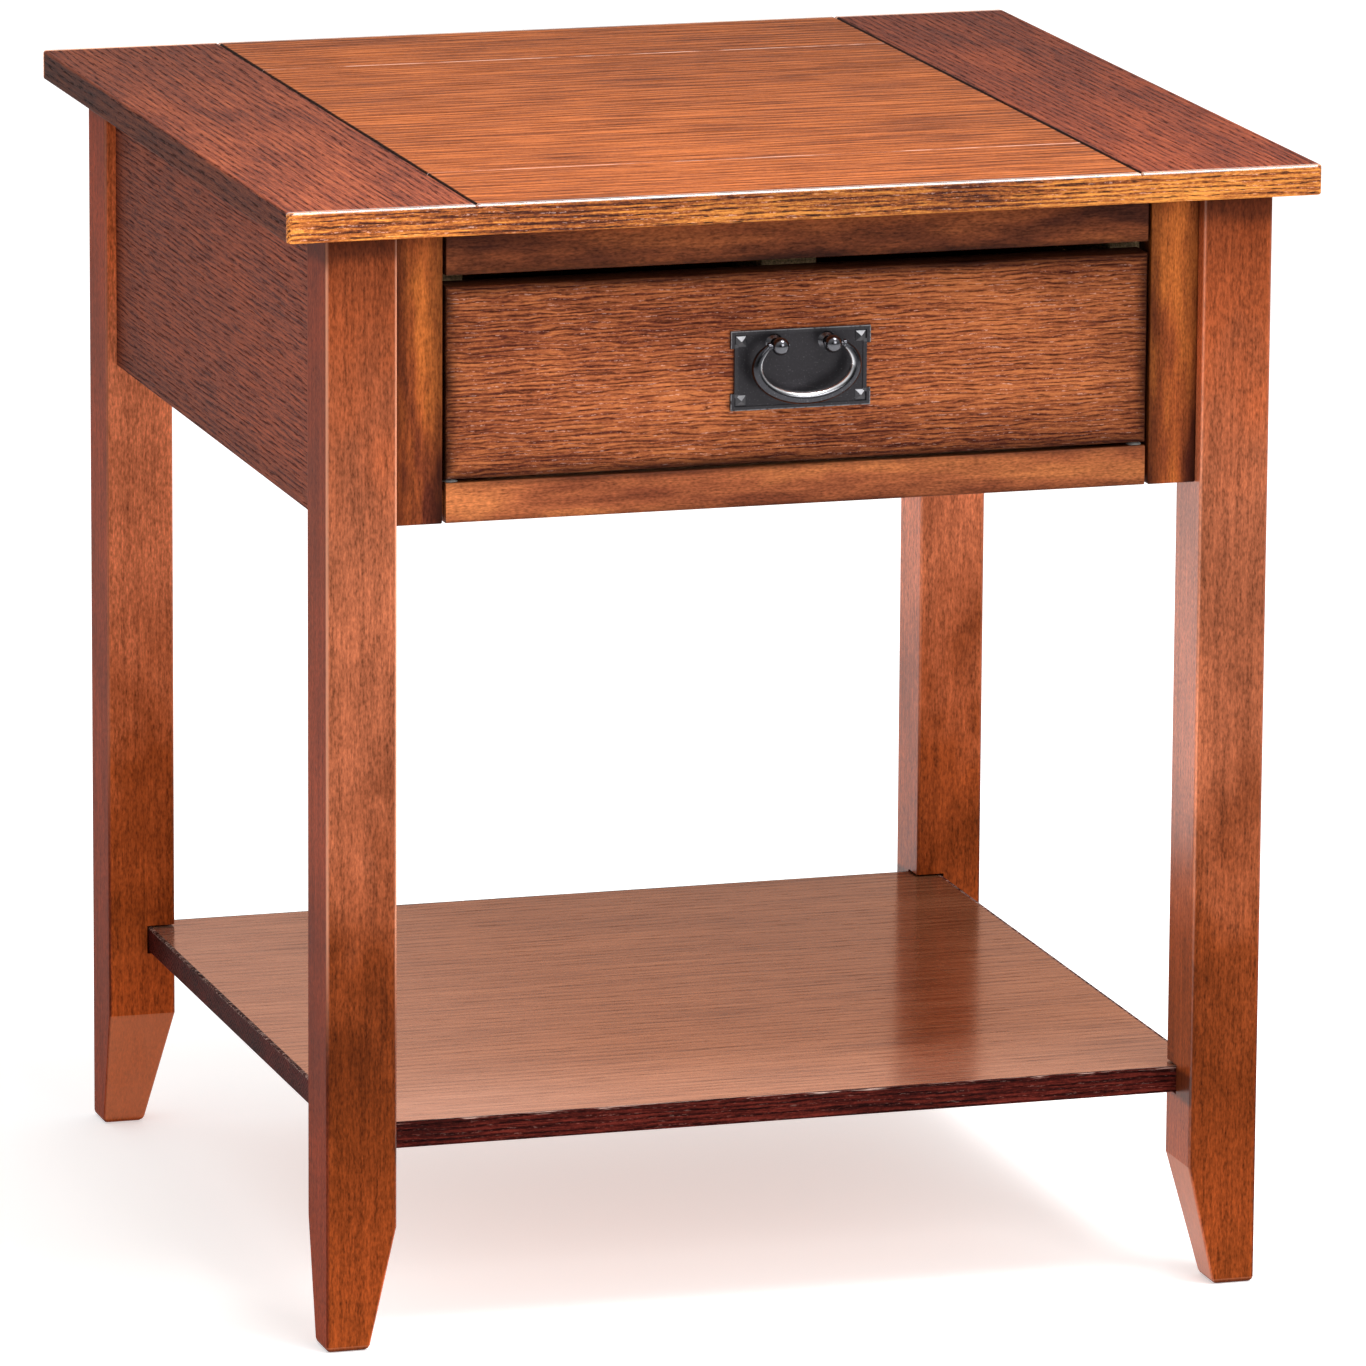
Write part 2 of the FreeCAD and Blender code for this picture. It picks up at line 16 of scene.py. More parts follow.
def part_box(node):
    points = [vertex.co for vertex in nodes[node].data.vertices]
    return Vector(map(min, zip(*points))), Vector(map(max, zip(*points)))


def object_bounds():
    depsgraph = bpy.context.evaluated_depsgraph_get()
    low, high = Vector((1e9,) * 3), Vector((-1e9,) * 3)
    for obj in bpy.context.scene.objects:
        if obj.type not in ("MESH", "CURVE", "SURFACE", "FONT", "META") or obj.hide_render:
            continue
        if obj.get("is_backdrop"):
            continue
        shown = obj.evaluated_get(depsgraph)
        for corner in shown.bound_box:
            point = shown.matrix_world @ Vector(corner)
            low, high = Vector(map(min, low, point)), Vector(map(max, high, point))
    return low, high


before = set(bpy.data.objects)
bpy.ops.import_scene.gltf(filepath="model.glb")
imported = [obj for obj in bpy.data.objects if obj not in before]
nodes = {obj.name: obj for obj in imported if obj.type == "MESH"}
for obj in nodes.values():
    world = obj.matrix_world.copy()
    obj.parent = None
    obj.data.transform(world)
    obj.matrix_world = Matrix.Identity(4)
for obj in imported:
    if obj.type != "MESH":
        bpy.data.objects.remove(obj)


def plain_box(corners):
    """Two corners as plain lists of numbers."""
    return [list(corner) for corner in corners]


def in_mm(metres):
    return round(1000 * metres, 2)


cad_box = plain_box(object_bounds())
print(len(nodes), "parts, together", [in_mm(b - a) for a, b in zip(*cad_box)], "mm")

# %% [markdown]
# ## Where the table is seen from
#
# A long lens far away keeps the legs nearly parallel, as in a catalogue picture. The camera stands
# to the left and looks a little down. A constraint that tracks the table would aim it too, but
# then the angles are hidden. Here the turn is built from three simple rotations, so that each can
# be read by itself: roll it, then tilt it, then turn it.

# %% Camera
CAMERA_PLACE = Vector((-1.6867, -5.5641, 1.5955))
CAMERA_TURN = math.radians(16.982)
CAMERA_TILT = math.radians(12.661)
CAMERA_ROLL = math.radians(0.365)
LENS = 288.17
SENSOR_WIDTH = 36.0
FAR_END = 60.0

camera_data = bpy.data.cameras.new("long_lens")
camera_data.lens = LENS
camera_data.sensor_width = SENSOR_WIDTH
camera_data.clip_end = FAR_END
camera = bpy.data.objects.new("camera", camera_data)
turned = Matrix.Rotation(-CAMERA_TURN, 4, "Z")
tilted = Matrix.Rotation(math.radians(90) - CAMERA_TILT, 4, "X")
rolled = Matrix.Rotation(CAMERA_ROLL, 4, "Z")
camera.matrix_world = Matrix.Translation(CAMERA_PLACE) @ turned @ tilted @ rolled
bpy.context.scene.collection.objects.link(camera)
bpy.context.scene.camera = camera
print("camera is", round(CAMERA_PLACE.length, 2), "m away")

# %% [markdown]
# ## Writing shader maths as sums
#
# A material is a web of small nodes, and a sum is hard to read when it is drawn with nodes. This
# class wraps one output of a node, so that `stain * 0.5 + 1` adds the Math nodes for us. It also
# works with the number first, as in `1 - mask`. Numbers alone are still worked out by Python.

# %% A value that can be calculated with
class Value:
    def __init__(self, web, socket):
        self.web = web
        self.socket = socket

    def math(self, operation, first, second=None):
        inputs = {0: first} if second is None else {0: first, 1: second}
        return self.web.add("ShaderNodeMath", {"operation": operation}, inputs)

    def __add__(self, other):
        return self.math("ADD", self, other)

    def __radd__(self, other):
        return self.math("ADD", other, self)

    def __sub__(self, other):
        return self.math("SUBTRACT", self, other)

    def __rsub__(self, other):
        return self.math("SUBTRACT", other, self)

    def __mul__(self, other):
        return self.math("MULTIPLY", self, other)

    def __rmul__(self, other):
        return self.math("MULTIPLY", other, self)

    def __truediv__(self, other):
        return self.math("DIVIDE", self, other)

    def __pow__(self, other):
        return self.math("POWER", self, other)

    def __neg__(self):
        return self.math("SUBTRACT", 0.0, self)

    def __abs__(self):
        return self.math("ABSOLUTE", self)

    def sine(self):
        return self.math("SINE", self)

    def at_least(self, other):
        return self.math("MAXIMUM", self, other)

    def at_most(self, other):
        return self.math("MINIMUM", self, other)


print("a value can stand on either side of a sum")

# %% [markdown]
# ## One way to add any node
#
# Materials and the light of the sky are both webs of nodes, so one class serves them. `add` puts
# in any node. Its settings go first, because some of them change which sockets the node has, and
# then the values or links of its sockets. Colours go through Mix nodes, since a Math node would
# turn them grey. The other methods are only short names for nodes that are used often.

# %% A web of nodes
class Web:
    def __init__(self, tree):
        self.tree = tree

    def add(self, kind, settings=None, inputs=None, output=0):
        node = self.tree.nodes.new(kind)
        for key, value in (settings or {}).items():
            if key == "stops":
                self.set_stops(node.color_ramp, value)
            else:
                setattr(node, key, value)
        for key, value in (inputs or {}).items():
            self.feed(node.inputs[key], value)
        return Value(self, node.outputs[output])

    def feed(self, socket, value):
        """Links a value to a socket, or sets a plain number or colour on it."""
        if isinstance(value, Value):
            self.tree.links.new(value.socket, socket)
        else:
            socket.default_value = value

    def set_stops(self, ramp, stops):
        while len(ramp.elements) < len(stops):
            ramp.elements.new(0.5)
        for element, (position, stop_colour) in zip(ramp.elements, stops):
            element.position = position
            element.color = (*stop_colour, 1.0)

    def split(self, vector):
        """The X, Y and Z of a vector as three values."""
        node = self.add("ShaderNodeSeparateXYZ", inputs={0: vector}).socket.node
        return [Value(self, socket) for socket in node.outputs]

    def ramp(self, value, stops):
        """Colour read from a list of (position, colour)."""
        return self.add("ShaderNodeValToRGB", {"stops": stops}, {0: value})

    def step(self, value, low, high):
        """0 below low, 1 above high, smooth between; the other way round if low is the larger."""
        return self.add("ShaderNodeMapRange", {"interpolation_type": "SMOOTHSTEP"},
                        {0: value, 1: low, 2: high, 3: 0.0, 4: 1.0})

    def mix(self, share, first, second, blend="MIX"):
        """Colour between first and second."""
        return self.add("ShaderNodeMix", {"data_type": "RGBA", "blend_type": blend},
                        {0: share, 6: first, 7: second}, output=2)


print("a web adds any node, and has short names for four of them")

# %% [markdown]
# ## A finish in the making
#
# Every wood and metal here is a Principled surface with its own web. This class holds one such
# material while it is made. All patterns start from the place on the part, not from an unwrapped
# picture, so they run through the wood as they should and show no seams.

# %% A material being made
class Finish(Web):
    def __init__(self, name, constants):
        self.material = bpy.data.materials.new(name)
        self.material.use_nodes = True
        super().__init__(self.material.node_tree)
        self.surface = self.tree.nodes["Principled BSDF"]
        for socket, value in constants.items():
            self.surface.inputs[socket].default_value = value
        self.place = self.add("ShaderNodeTexCoord", output="Object")
        self.facing = self.add("ShaderNodeTexCoord", output="Normal")
        self.x, self.y, self.z = self.split(self.place)

    def noise(self, scale, offset=0.0, detail=2.0, roughness=0.5, place=None, output=0):
        """Cloudy values about 0.5; scale gives the features per metre along X, Y and Z."""
        shift = (offset, offset * 1.7, offset * 0.6)
        mapped = self.add("ShaderNodeMapping", inputs={0: place or self.place, 1: shift, 3: scale})
        sockets = {"Vector": mapped, "Scale": 1.0, "Detail": detail, "Roughness": roughness}
        return self.add("ShaderNodeTexNoise", inputs=sockets, output=output)

    def waved(self, reach, scale, offset):
        """The place on the wood, pushed about by a slow noise so that straight grain wanders."""
        push = self.noise(scale, offset, 1.0, output=1)
        centred = self.add("ShaderNodeVectorMath", {"operation": "SUBTRACT"},
                           {0: push, 1: (0.5, 0.5, 0.5)})
        scaled = self.add("ShaderNodeVectorMath", {"operation": "SCALE"}, {0: centred, 3: reach})
        return self.add("ShaderNodeVectorMath", {"operation": "ADD"}, {0: self.place, 1: scaled})

    def finish(self, surface_colour, roughness, height=None, depth=0.0, coat=0.0, metallic=0.0):
        """Feeds the surface.  height times depth, in metres, is the relief of the grain."""
        for name, value in (("Base Color", surface_colour), ("Roughness", roughness),
                            ("Coat Weight", coat), ("Metallic", metallic)):
            self.feed(self.surface.inputs[name], value)
        if height is not None:
            bump = self.add("ShaderNodeBump", inputs={"Distance": depth, "Height": height})
            self.feed(self.surface.inputs["Normal"], bump)
        return self.material


print("a finish starts from the place on its part")

# %% [markdown]
# ## Stains as colours
#
# A stain is three colours: where the wood stays light, its middle, and where it takes most stain.
# Making a colour darker or lighter from place to place is a multiplication. A Math node would turn
# the colour grey, so it is done with a Mix node set to Multiply. One flat colour for each part
# would be quicker, but real stain is never the same at both ends of a board.

# %% Helpers for colours
def colour(red, green, blue):
    return (red, green, blue, 1.0)


def tinted(stain, share):
    """A stain colour made darker or lighter by a plain factor."""
    return colour(*(share * part for part in stain))


def shaded(f, wood, shade):
    """The wood's colour made lighter or darker by a value about 1."""
    grey = f.add("ShaderNodeCombineColor", inputs={0: shade, 1: shade, 2: shade})
    return f.mix(1.0, wood, grey, "MULTIPLY")


def paint(names, material):
    """Gives one material to several parts."""
    for name in names:
        nodes[name].data.materials.clear()
        nodes[name].data.materials.append(material)


print("colours are red, green, blue and full cover:", colour(1, 1, 1))

# %% [markdown]
# ## Grain and edges
#
# Wood is long cells laid side by side, so every pattern in it is stretched along the grain. A noise
# texture becomes grain when its scale is small along the board and large across it. The edges of a
# part matter as much: glaze collects there, and some edges get painted highlights, others painted
# shade. They could be found from the mesh's sharp edges, but the part's box gives the same distances
# with less work.

# %% Helpers for grain and edges
def stretched(along, length, width):
    """Scale for a noise whose features have this length and width, in metres, along the grain."""
    return tuple(1.0 / length if axis == along else 1.0 / width for axis in "XYZ")


def edge_shade(f, name, reach, sides):
    """1 at the outer edges of a part, falling to 0 at a distance of reach inside it."""
    low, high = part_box(name)
    nearest = None
    for number, (axis, value) in enumerate(zip("XYZ", (f.x, f.y, f.z))):
        if axis in sides:
            middle = (low[number] + high[number]) / 2
            half = (high[number] - low[number]) / 2
            inside = half - abs(value - middle)
            nearest = inside if nearest is None else nearest.at_most(inside)
    return 1 - f.step(nearest, 0.0, reach)


def glaze_and_shade_at_edges(name, reach, sides, least, with_clouds):
    """A function for the dark glaze along a part's edges, stronger or weaker with the clouds; on the
    stiles it is also painted shade.
    """
    def glaze(f, clouds):
        return edge_shade(f, name, reach, sides) * (clouds * with_clouds + least)
    return glaze


print("a grain of 30 by 0.9 mm has the scale", [round(s) for s in stretched("X", 0.03, 0.0009)])

# %% [markdown]
# ## Growth rings
#
# A board shows the tree's years as lines along its length. A Wave texture can draw them, but its
# lines are all alike. Here the rings are a sine of the place across the board, with a slow noise
# added to the count of turns, so that some years come out wide and some narrow.

# %% Growth rings
def growth_rings(f, along, path, spacing, seed):
    """Rings across the grain as a value from 0 to 1, a little uneven in their distances."""
    place = dict(zip("XYZ", f.split(path)))
    across = [value for axis, value in place.items() if axis != along]
    drift = f.noise(stretched(along, spacing * 40, spacing * 4), seed + 9.1, 2.0, 0.6)
    turns = (across[0] + across[1]) / spacing + drift * 2.5
    return (turns * (2 * math.pi)).sine() * 0.5 + 0.5


print("rings are ready")

# %% [markdown]
# ## Oak
#
# The top, the panels, the shelf and the drawer front are oak or oak veneer. Oak is ring-porous: each
# year's growth starts with a row of open pores, which show as short dark dashes. So this wood has
# rows about as far apart as the years, dashes that are let through only in the rows, and a fine
# fibre and speckle over everything. Stain gathers in the pores, and the pale glints on their rims
# are painted highlights. One function makes them all, because the boards differ only in their stain
# and their grain.

# %% The oak itself
# Pale colour of painted highlights and painted light: glints on pore rims, dashes on seams and
# arrises, and the paler parts of the shelf.
PAINTED_LIGHT_COLOUR = colour(0.75, 0.52, 0.44)
ROW_SHARE = 0.06
SPECKLE_SHARE = 0.22
PORE_DARKNESS = 0.35
GLAZE_DARKNESS = 0.12
CLOUD_SIZE = (0.12, 0.035)
SPECKLE_SIZE = (0.0022, 0.0008)
WAVE_SIZE = (0.02, 0.006)
FIBRE_SIZE = (0.03, 0.0009)
ROW_LIMITS = (0.45, 0.15)
PORE_LIMITS = (0.50, 0.60)
RIM_LIMITS = (0.46, 0.40)
GLINT_LIMITS = (0.5, 0.6)
BETWEEN_ROWS = 0.15


def oak(name, along, stain, seed, row=0.003, wave=0.001, dash=(0.006, 0.0006), pores=0.7,
        fibre_size=FIBRE_SIZE, contrast=0.1, cloudy=0.3, glints=0.0, shade=None, glaze=None,
        pale=None, roughness=0.5, shine=0.0, depth=0.0002, thick_lacquer=None, constants=None):
    """Stained oak.  row is the distance between rows of pores, and dash the length and width of a
    pore.  shade, glaze and pale are functions: shade changes the brightness, as painted light and
    shade with uneven stain from the clouds, glaze adds dark glaze, and pale lays a pale colour over
    the wood as painted highlights and painted light.  glints sets the painted highlights on the pore
    rims.  constants are sockets with one value all over."""
    f = Finish(name, {"Specular IOR Level": 0.03, **(constants or {})})
    light, middle, dark = stain
    path = f.waved(wave, stretched(along, *WAVE_SIZE), seed + 1.3)
    rows = growth_rings(f, along, path, row, seed)
    fibre = f.noise(stretched(along, *fibre_size), seed + 3.1, 3.0, 0.7, path)
    speckle = f.noise(stretched(along, *SPECKLE_SIZE), seed + 4.2, 2.0, 0.7)
    dashes = f.noise(stretched(along, *dash), seed + 5.3, 2.0, 0.6, path)
    clouds = f.noise(stretched(along, *CLOUD_SIZE), seed + 7.7, 3.0, 0.6)
    fibre_share = 1 - ROW_SHARE - SPECKLE_SHARE - cloudy
    figure = rows * ROW_SHARE + fibre * fibre_share + speckle * SPECKLE_SHARE + clouds * cloudy
    wood = f.ramp(figure, [(0.5 - contrast, dark), (0.5, middle), (0.5 + contrast, light)])
    in_row = f.step(rows, *ROW_LIMITS)
    open_pores = f.step(dashes, *PORE_LIMITS) * (BETWEEN_ROWS + (1 - BETWEEN_ROWS) * in_row)
    wood = f.mix(open_pores * pores, wood, tinted(dark, PORE_DARKNESS))
    if glints:
        # Painted highlights: pale glints on the rims of the pores.
        painted_glints = f.step(dashes, *RIM_LIMITS) * in_row * f.step(speckle, *GLINT_LIMITS)
        wood = f.mix(painted_glints * glints, wood, PAINTED_LIGHT_COLOUR)
    if shade is not None:
        wood = shaded(f, wood, shade(f, clouds))
    if glaze is not None:
        wood = f.mix(glaze(f, clouds), wood, tinted(dark, GLAZE_DARKNESS))
    if pale is not None:
        wood = f.mix(pale(f, fibre), wood, PAINTED_LIGHT_COLOUR)
    height = fibre * 0.3 + rows * 0.3 - open_pores
    coat = thick_lacquer(f) if thick_lacquer is not None else 0.0
    return f.finish(wood, roughness + open_pores * 0.2 + clouds * 0.1, height, depth, coat, shine)


print("oak can be made")

# %% [markdown]
# ## The field of the top
#
# Three boards run left to right, between two bands that run front to back. A V groove is cut along
# each band, and the dark glaze stays in it when the rest is wiped off. The seams between the three
# boards are much finer, and they get pale, broken dashes, a painted highlight. Such lines could be
# drawn on a picture of the top. A distance from the groove or the seam takes only a few sums, stays
# sharp from near by, and follows the parts if their sizes change.

# %% Grooves and seams
GROOVE_LIMITS = (0.0008, 0.00176)
GROOVE_WAVER = 0.001
SEAM_LIMITS = (0.0003, 0.0008)
SEAM_BREAKS = (0.42, 0.52)
groove_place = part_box("top_right_band")[0].x
seam_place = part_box("top_middle_board")[1].y


def groove_glaze(f, clouds):
    """Dark in the two V grooves, and a little beyond them."""
    away = abs(abs(f.x) - groove_place)
    return 1 - f.step(away + (clouds - 0.5) * GROOVE_WAVER, *GROOVE_LIMITS)


def painted_seam_glint(f, fibre):
    """Painted highlight: pale broken dashes along the two fine seams."""
    away = abs(abs(f.y) - seam_place)
    return (1 - f.step(away, *SEAM_LIMITS)) * f.step(fibre, *SEAM_BREAKS)


print("grooves are", in_mm(2 * groove_place), "mm apart, seams", in_mm(2 * seam_place), "mm")

# %% [markdown]
# ## Staining the field
#
# No hand-stained top is even, and the clouds keep this one uneven. It is also made a little darker
# towards the back and the right, which is painted shade. Each board has a seed of its own, so that
# the figure doesn't run on across a seam. One material for all three would be lighter to load, but
# then they would look sawn from one wide plank.

# %% Field boards
FIELD_STAIN = ((0.52, 0.145, 0.038), (0.30, 0.075, 0.018), (0.12, 0.026, 0.007))
top_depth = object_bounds()[1].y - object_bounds()[0].y


def light_slope_and_clouds(f, clouds, level, to_right=0.0, to_back=0.0, cloudy=0.2):
    """A brightness that is level in the middle of the table and changes by so much per metre to the
    right and to the back, and a little with the clouds. The slopes are painted light and shade; the
    clouds are uneven stain."""
    return level + f.x * to_right + f.y * to_back + (clouds - 0.5) * cloudy


def field_shade(f, clouds):
    """Painted shade: a little darker towards the back and the right."""
    return light_slope_and_clouds(f, clouds, 0.97, to_right=-0.6, to_back=-0.42 / top_depth, cloudy=0.25)


field_boards = ("top_front_board", "top_middle_board", "top_rear_board")
for number, name in enumerate(field_boards):
    wood = oak(name + "_oak", "X", FIELD_STAIN, seed=number * 2.3, row=0.008, wave=0.0006,
               dash=(0.018, 0.0010), pores=0.35, fibre_size=(0.05, 0.0019), contrast=0.095,
               cloudy=0.12, shade=field_shade, glaze=groove_glaze, pale=painted_seam_glint)
    paint([name], wood)
print(len(field_boards), "boards of the field are stained")

# %% [markdown]
# ## The bands of the top
#
# The bands run front to back, so their ends are at the front and the back, where they are paler
# again. They took more stain than the field. Towards the back they are darker, which is painted
# shade, and their outer sides are darker too, partly from deeper stain and partly as painted shade.
# The sides could be given a second material, but then the mesh must be split. A mask that reads the
# height above the floor darkens them in the same material.

# %% Bands
BAND_STAINS = {
    "top_left_band": ((0.34, 0.086, 0.034), (0.19, 0.041, 0.018), (0.055, 0.011, 0.007)),
    "top_right_band": ((0.27, 0.061, 0.023), (0.15, 0.029, 0.012), (0.044, 0.008, 0.005)),
}
UPPER_ARRIS = (-0.002, -0.0008)
PALE_END_REACH = 0.003
top_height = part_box("top_middle_board")[1].z


def below_the_top(f):
    """1 on the sides of the top, 0 on its upper face and the rounded arris."""
    return 1 - f.step(f.z - top_height, *UPPER_ARRIS)


def band_shade(f, clouds):
    """Darker towards the back as painted shade, darker on the sides partly as painted shade, and
    paler near the ends.
    """
    lightened = edge_shade(f, "top_left_band", PALE_END_REACH, "Y") * 0.5
    shade = light_slope_and_clouds(f, clouds, 1.0, to_back=-0.7 / top_depth, cloudy=0.3) + lightened
    # The sides of the bands are darker, partly as painted shade.
    return shade * (1 - below_the_top(f) * 0.5)


for number, (name, stain) in enumerate(BAND_STAINS.items()):
    wood = oak(name + "_oak", "Y", stain, seed=20 + number * 3.7, row=0.0045, wave=0.0005,
               dash=(0.012, 0.0009), contrast=0.12, cloudy=0.2, shade=band_shade,
               glaze=groove_glaze)
    paint([name], wood)
print(len(BAND_STAINS), "bands are stained, with darker sides below", in_mm(top_height), "mm")

# %% [markdown]
# ## The lippings
#
# A strip of oak covers the ends of the bands at the front and at the back. Its own ends are painted
# paler, most of all the left one, which is painted light, and it is speckled with glints, which are
# painted highlights. Lacquer runs to its upper arris and gathers there in a thick line that catches
# the light. That line could be a thin mesh of its own. The coat of the Principled surface is
# simpler: it is clear, lies over the wood, and can be strong in one place only.

# %% Lippings
LIPPING_STAIN = ((0.76, 0.285, 0.052), (0.38, 0.104, 0.020), (0.08, 0.016, 0.006))
LACQUERED_ARRIS = (-0.0014, -0.0008)
THICK_LACQUER = {"Coat Roughness": 0.08, "Coat IOR": 2.4}


def lipping_shade(f, clouds):
    """Painted light: paler at both ends, most of all at the left."""
    return light_slope_and_clouds(f, clouds, 0.76, to_right=-0.8, cloudy=0.3) + abs(f.x) * 1.6


def front_arris(f):
    """Lacquer gathers thickly on the rounded upper arris of the lipping."""
    return f.step(f.z - top_height, *LACQUERED_ARRIS) * 0.95 + 0.05


lipping_oak = oak("lipping_oak", "X", LIPPING_STAIN, seed=31.0, row=0.0028, dash=(0.008, 0.0009),
                  pores=0.9, contrast=0.085, glints=0.35, shade=lipping_shade,
                  thick_lacquer=front_arris, constants=THICK_LACQUER)
paint(["top_front_lipping", "top_rear_lipping"], lipping_oak)
print("the lacquer starts", in_mm(-LACQUERED_ARRIS[0]), "mm below the top")

# %% [markdown]
# ## The drawer front
#
# The drawer front is veneered, with a busy, wavy grain and dark glaze left along its edges. A
# scanned board would bring its own light along with its grain. Here the waves come from pushing the
# place on the wood about before the rings are drawn, and `wave` says how far, in metres.

# %% Drawer front
DRAWER_STAIN = ((0.48, 0.150, 0.050), (0.27, 0.073, 0.027), (0.09, 0.020, 0.012))
DRAWER_EDGE_REACH = 0.04
DRAWER_GLAZE_REACH = 0.008


def drawer_shade(f, clouds):
    """Darker near its edges, and a little darker towards its right end, which is painted shade."""
    edges = edge_shade(f, "drawer_front", DRAWER_EDGE_REACH, "XZ")
    return light_slope_and_clouds(f, clouds, 1.05, to_right=-0.8, cloudy=0.5) - edges * 0.25


drawer_glaze = glaze_and_shade_at_edges("drawer_front", DRAWER_GLAZE_REACH, "XZ", least=0.0, with_clouds=1.5)
drawer_oak = oak("drawer_oak", "X", DRAWER_STAIN, seed=41.0, row=0.0024, wave=0.0026, pores=0.7,
                 dash=(0.010, 0.0006), cloudy=0.22, glints=0.35, shade=drawer_shade,
                 glaze=drawer_glaze)
paint(["drawer_front"], drawer_oak)
print("glaze reaches", in_mm(DRAWER_GLAZE_REACH), "mm in from the drawer's edges")

# %% [markdown]
# ## The side and back panels
#
# The panels between the legs are plain veneer in a red-brown stain, made darker towards the back as
# painted shade. Their grain is level, so it runs left to right in the back panel and front to back
# in the sides. Three separate calls could make them, but in a loop they keep the same settings, and
# only the seed and the run of the grain differ.

# %% Side and back panels
PANEL_STAIN = ((0.30, 0.068, 0.028), (0.19, 0.042, 0.020), (0.07, 0.015, 0.010))
PANEL_GRAIN = {"left_side_panel": "Y", "right_side_panel": "Y", "back_panel": "X"}
PANEL_GLAZE_REACH = 0.03


def panel_shade(f, clouds):
    """Painted shade: darker towards the back."""
    return light_slope_and_clouds(f, clouds, 1.02, to_back=-0.9)


for number, (name, along) in enumerate(PANEL_GRAIN.items()):
    panel_glaze = glaze_and_shade_at_edges(name, PANEL_GLAZE_REACH, "YZ", least=0.0, with_clouds=0.5)
    wood = oak(name + "_oak", along, PANEL_STAIN, seed=50.0 + number * 4.1, row=0.003, wave=0.001,
               dash=(0.012, 0.0008), pores=0.6, cloudy=0.12, shade=panel_shade, glaze=panel_glaze)
    paint([name], wood)
print(len(PANEL_GRAIN), "panels are stained")

# %% [markdown]
# ## The shelf
#
# The shelf is the palest part, and it has the thickest lacquer: the leg behind it shows in it like
# a reflection in still water. A clear coat reflects only a few hundredths of the light when seen
# from above, which is too little here. So the surface is made part metal and quite smooth, and its
# shine takes the warm colour of the lacquer. The grain still shows through, as it should.

# %% Shelf
SHELF_STAIN = ((0.52, 0.22, 0.113), (0.40, 0.150, 0.072), (0.21, 0.070, 0.034))
LACQUER_WARMTH = {"Specular Tint": colour(0.80, 0.55, 0.46)}
SHELF_LEFT_END = (-0.02, -0.22)
SHELF_FRONT_EDGE = (-0.10, -0.22)
FILLED_GRAIN_DEPTH = 0.00003


def shelf_shade(f, clouds):
    """Painted light: lighter towards the left and the front."""
    return light_slope_and_clouds(f, clouds, 1.0, to_right=-0.8, to_back=-0.9)


def painted_shelf_light(f, fibre):
    """Painted light: paler at its left end and along its front edge."""
    left_end = f.step(f.x, *SHELF_LEFT_END) * 0.22
    front_edge = f.step(f.y, *SHELF_FRONT_EDGE) * 0.16
    return (left_end + front_edge) * (fibre + 0.5)


shelf_oak = oak("shelf_oak", "X", SHELF_STAIN, seed=70.0, row=0.007, wave=0.0003,
                dash=(0.018, 0.0010), pores=0.35, fibre_size=(0.06, 0.0020), contrast=0.13,
                cloudy=0.15, roughness=0.10, shine=0.6, shade=shelf_shade, pale=painted_shelf_light,
                depth=FILLED_GRAIN_DEPTH, constants=LACQUER_WARMTH)
paint(["shelf_board"], shelf_oak)
print("the shelf's grain is", in_mm(FILLED_GRAIN_DEPTH), "mm deep")

# %% [markdown]
# ## The shelf's edges
#
# The four edge bands of the shelf are stained almost to wine red, and their upper arris has pale
# broken dashes, a painted highlight. Such dashes could be drawn one by one. Here the fibre of the
# wood decides where they break, so they lie along the grain without any drawing.

# %% Shelf edges
SHELF_EDGE_STAIN = ((0.13, 0.018, 0.012), (0.05, 0.006, 0.004), (0.012, 0.002, 0.002))
GLINTING_ARRIS = (-0.0013, -0.0005)
GLINT_BREAKS = (0.53, 0.60)
shelf_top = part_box("shelf_board")[1].z


def painted_edge_glint(f, fibre):
    """Painted highlight: pale broken dashes along the upper arris of the shelf's edge."""
    return f.step(f.z - shelf_top, *GLINTING_ARRIS) * f.step(fibre, *GLINT_BREAKS) * 0.6


shelf_bands = [name for name in nodes if name.startswith("shelf_") and name.endswith("_band")]
shelf_edge_oak = oak("shelf_edge_oak", "X", SHELF_EDGE_STAIN, seed=80.0, glints=0.08,
                     pale=painted_edge_glint)
paint(shelf_bands, shelf_edge_oak)
print(len(shelf_bands), "edge bands are stained, the shelf is", in_mm(shelf_top), "mm high")

# %% [markdown]
# ## Close-grained wood
#
# The legs and the front frame are a close-grained hardwood. It has no rows of pores. It takes stain
# unevenly, with fine short flecks along the grain, a finer speckle, and longer soft streaks. One
# noise can't be short and long at once, so there are three, each stretched to its own size, and
# their sum is a brightness about 1.

# %% Flecks of close grain
FLECK_SIZE = (0.009, 0.0008)
FINE_SPECKLE_SIZE = (0.0025, 0.0009)
STREAK_SIZE = (0.09, 0.0025)
CLOSE_GRAIN_DEPTH = 0.00012


def fleck_shade(f, along, seed):
    """The brightness of close grain, about 1, and its height."""
    flecks = f.noise(stretched(along, *FLECK_SIZE), seed + 2.2, 3.0, 0.65)
    speckle = f.noise(stretched(along, *FINE_SPECKLE_SIZE), seed + 3.3, 1.0)
    streaks = f.noise(stretched(along, *STREAK_SIZE), seed + 4.4, 2.0)
    shade = 1 + (flecks - 0.5) * 1.2 + (speckle - 0.5) * 1.5 + (streaks - 0.5) * 0.9
    return shade, flecks * 0.5 + speckle * 0.3 + streaks * 0.2


print("flecks are", in_mm(FLECK_SIZE[0]), "mm long, streaks", in_mm(STREAK_SIZE[0]), "mm")

